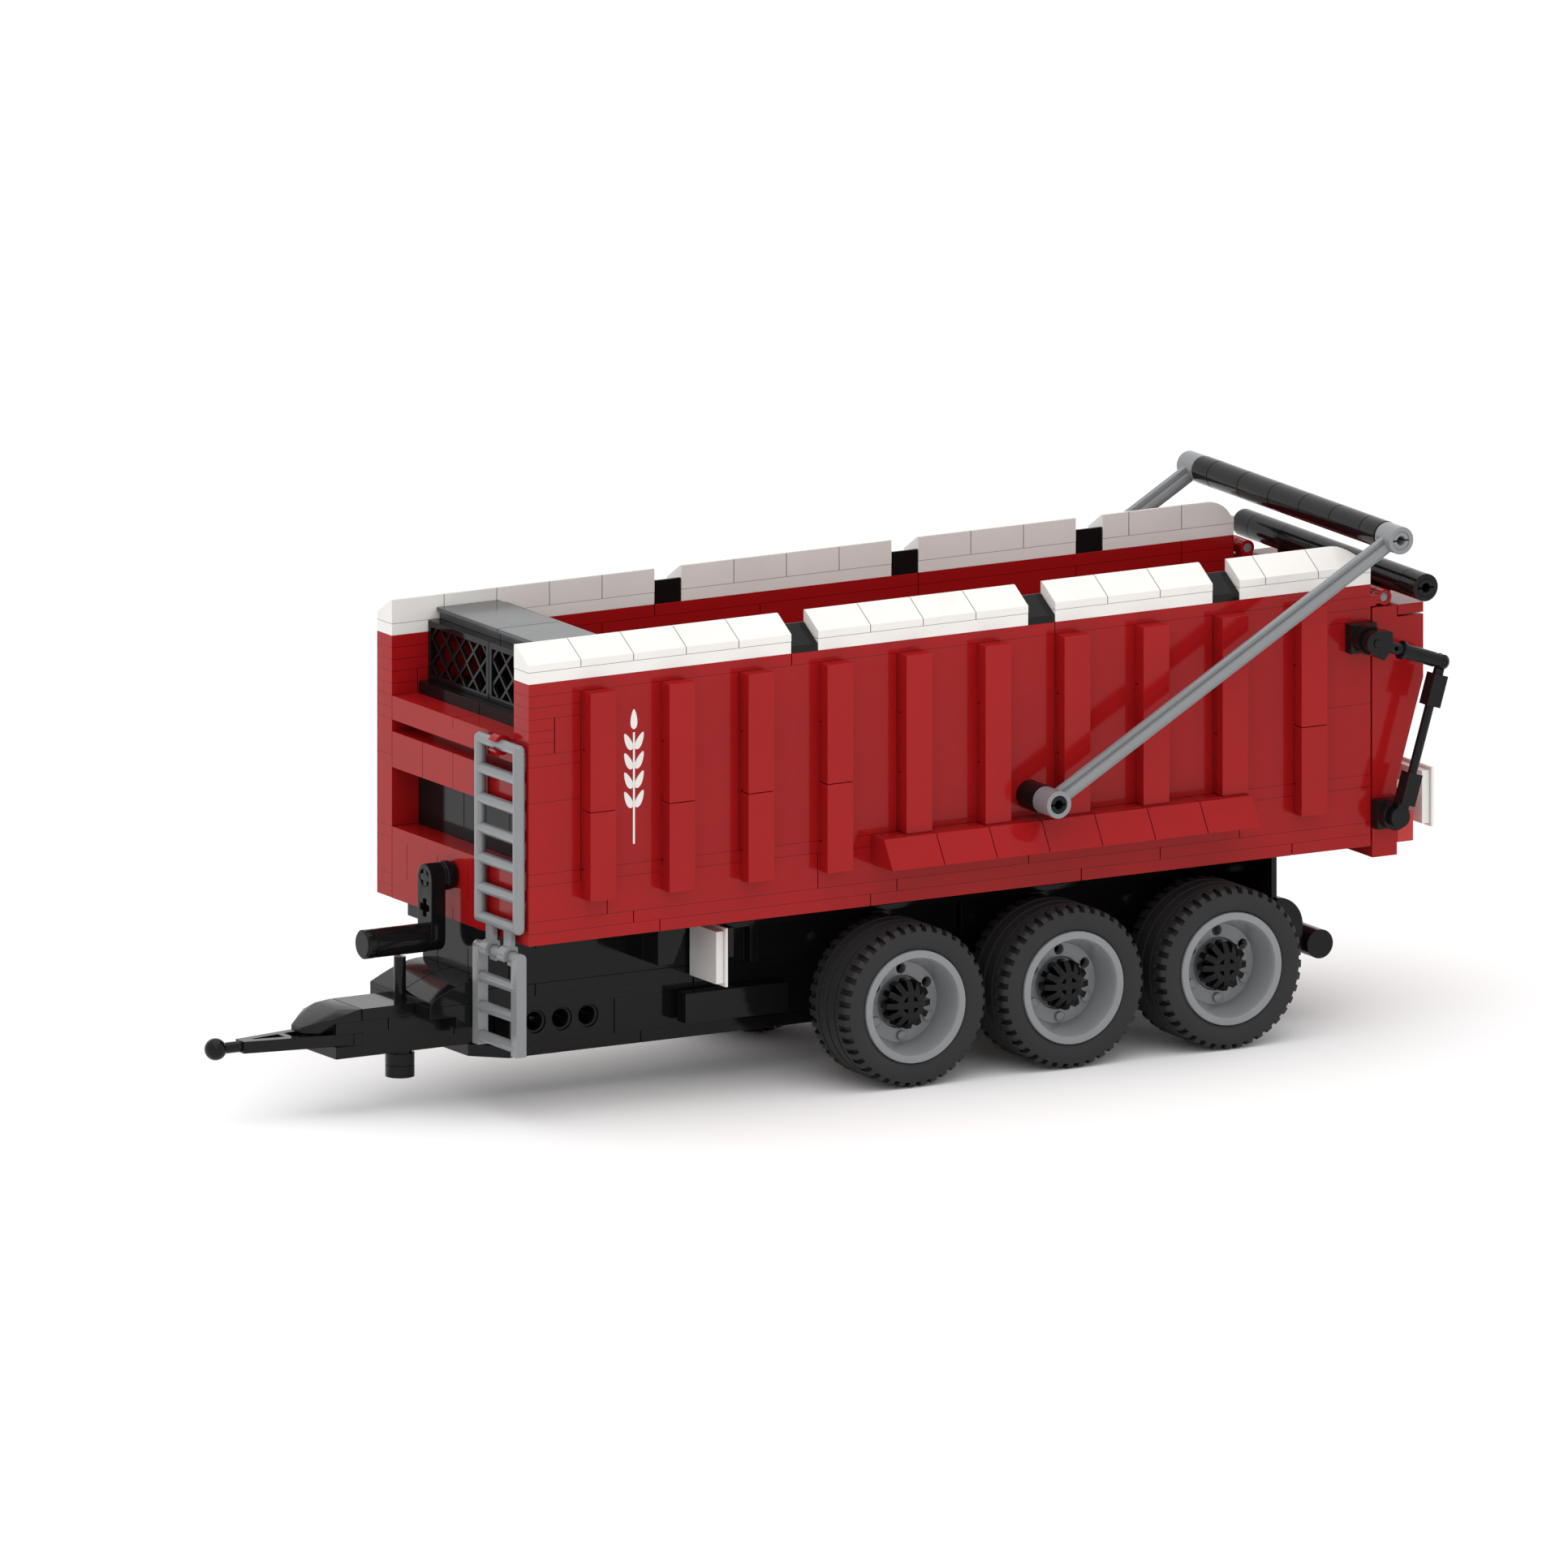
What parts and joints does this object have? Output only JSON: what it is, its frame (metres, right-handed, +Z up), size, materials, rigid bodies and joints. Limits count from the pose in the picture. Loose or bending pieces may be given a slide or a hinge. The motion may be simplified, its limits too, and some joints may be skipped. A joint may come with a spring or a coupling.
{
  "type": "grain cart",
  "caption": "Brick-built toy grain trailer: ribbed red tub on a spine chassis, hinged tailgate with folding rams, cover bow, fold-down ladder, crank, jack leg, tow ball.",
  "frame": {"origin": "middle of the bounding box, on the ground under the wheels", "axes": "+X forwards to the tow ball, +Y to the left, +Z up"},
  "size_m": [0.35, 0.112, 0.1366],
  "materials": {
    "red_brick": "gloss",
    "black_brick": "gloss",
    "white_brick": "gloss",
    "grey_brick": "gloss",
    "dark_grey_brick": "gloss",
    "clear_red": "gloss",
    "tyre": "matte"
  },
  "bodies": {
    "tub": {"spine_upper": "black_brick", "spine_lower": "black_brick", "side_channels": "black_brick", "mudguard_rear": "black_brick", "bumper_bar": "black_brick", "side_rails": "black_brick", "marker_brackets": "black_brick", "front_markers": "white_brick", "drawbar_plates": "black_brick", "drawbar_frame": "black_brick", "tow_ball": "black_brick", "drawbar_nose": "black_brick", "drawbar_slopes": "black_brick", "floor_plates": "red_brick", "wall_left": "red_brick", "wall_right": "red_brick", "front_wall": "red_brick", "front_liner": "black_brick", "ribs_left": "red_brick", "ribs_right": "red_brick", "skirt_left": "red_brick", "skirt_right": "red_brick", "rim_plates": "white_brick", "rim_slopes": "white_brick", "rim_gap_pieces": "black_brick", "lattice": "black_brick", "front_box_base": "black_brick", "front_box_roof": "dark_grey_brick", "ladder_upper": "grey_brick", "bow_pivots": "black_brick", "hinge_pins": "grey_brick", "ram_pads": "black_brick"},
    "ladder_fold": {"ladder_lower": "grey_brick"},
    "jack": {"jack_leg": "black_brick"},
    "crank": {"crank_axle": "black_brick", "crank_bushes": "black_brick", "crank_arm": "black_brick", "crank_handle": "black_brick"},
    "bow": {"bow_connectors": "grey_brick", "bow_arms": "grey_brick", "bow_roller": "black_brick", "bow_core": "grey_brick"},
    "gate": {"gate_panel": "red_brick", "gate_lamps": "clear_red", "gate_markers": "white_brick", "gate_roller": "black_brick", "gate_pads": "black_brick"},
    "link_left": {"ram_link_left": "black_brick"},
    "link_right": {"ram_link_right": "black_brick"},
    "rod_left": {"ram_rod_left": "black_brick"},
    "rod_right": {"ram_rod_right": "black_brick"},
    "wheels_1": {"axle_1_shaft": "black_brick", "axle_1_rims": "grey_brick", "axle_1_tyres": "tyre"},
    "wheels_2": {"axle_2_shaft": "black_brick", "axle_2_rims": "grey_brick", "axle_2_tyres": "tyre"},
    "wheels_3": {"axle_3_shaft": "black_brick", "axle_3_rims": "grey_brick", "axle_3_tyres": "tyre"}
  },
  "joints": [
    {"name": "ladder_hinge", "type": "hinge", "parent": "tub", "child": "ladder_fold", "pos_m": [0.10197, 0.028, 0.0444], "axis": [0, -1, 0], "range_deg": [0, 90]},
    {"name": "jack_slide", "type": "slide", "parent": "tub", "child": "jack", "axis": [0, 0, -1], "range_m": [0, 0.007]},
    {"name": "crank_turn", "type": "hinge", "parent": "tub", "child": "crank", "pos_m": [0.10007, 0, 0.06], "axis": [1, 0, 0], "continuous": true},
    {"name": "wheels_1_spin", "type": "hinge", "parent": "tub", "child": "wheels_1", "pos_m": [-0.01192, 0, 0.0216], "axis": [0, 1, 0], "continuous": true},
    {"name": "wheels_2_spin", "type": "hinge", "parent": "tub", "child": "wheels_2", "pos_m": [-0.05992, 0, 0.0216], "axis": [0, 1, 0], "continuous": true},
    {"name": "wheels_3_spin", "type": "hinge", "parent": "tub", "child": "wheels_3", "pos_m": [-0.10792, 0, 0.0216], "axis": [0, 1, 0], "continuous": true},
    {"name": "bow_swing", "type": "hinge", "parent": "tub", "child": "bow", "pos_m": [-0.05192, 0, 0.0728], "axis": [0, 1, 0], "range_deg": [0, 120]},
    {"name": "gate_hinge", "type": "hinge", "parent": "tub", "child": "gate", "pos_m": [-0.16012, 0, 0.1142], "axis": [0, 1, 0], "range_deg": [0, 60]},
    {"name": "link_left_hinge", "type": "hinge", "parent": "tub", "child": "link_left", "pos_m": [-0.15193, 0.0486, 0.1046], "axis": [0, 1, 0], "range_deg": [0, 31]},
    {"name": "rod_left_hinge", "type": "hinge", "parent": "link_left", "child": "rod_left", "pos_m": [-0.17213, 0.0486, 0.0973], "axis": [0, 1, 0], "range_deg": [0, 46]},
    {"name": "link_right_hinge", "type": "hinge", "parent": "tub", "child": "link_right", "pos_m": [-0.15193, -0.0486, 0.1046], "axis": [0, 1, 0], "range_deg": [0, 31]},
    {"name": "rod_right_hinge", "type": "hinge", "parent": "link_right", "child": "rod_right", "pos_m": [-0.17213, -0.0486, 0.0973], "axis": [0, 1, 0], "range_deg": [0, 46]}
  ],
  "couplings": [
    {"joint": "link_left_hinge", "follows": "gate_hinge", "ratio": 0.5},
    {"joint": "rod_left_hinge", "follows": "gate_hinge", "ratio": 0.75},
    {"joint": "link_right_hinge", "follows": "gate_hinge", "ratio": 0.5},
    {"joint": "rod_right_hinge", "follows": "gate_hinge", "ratio": 0.75}
  ]
}
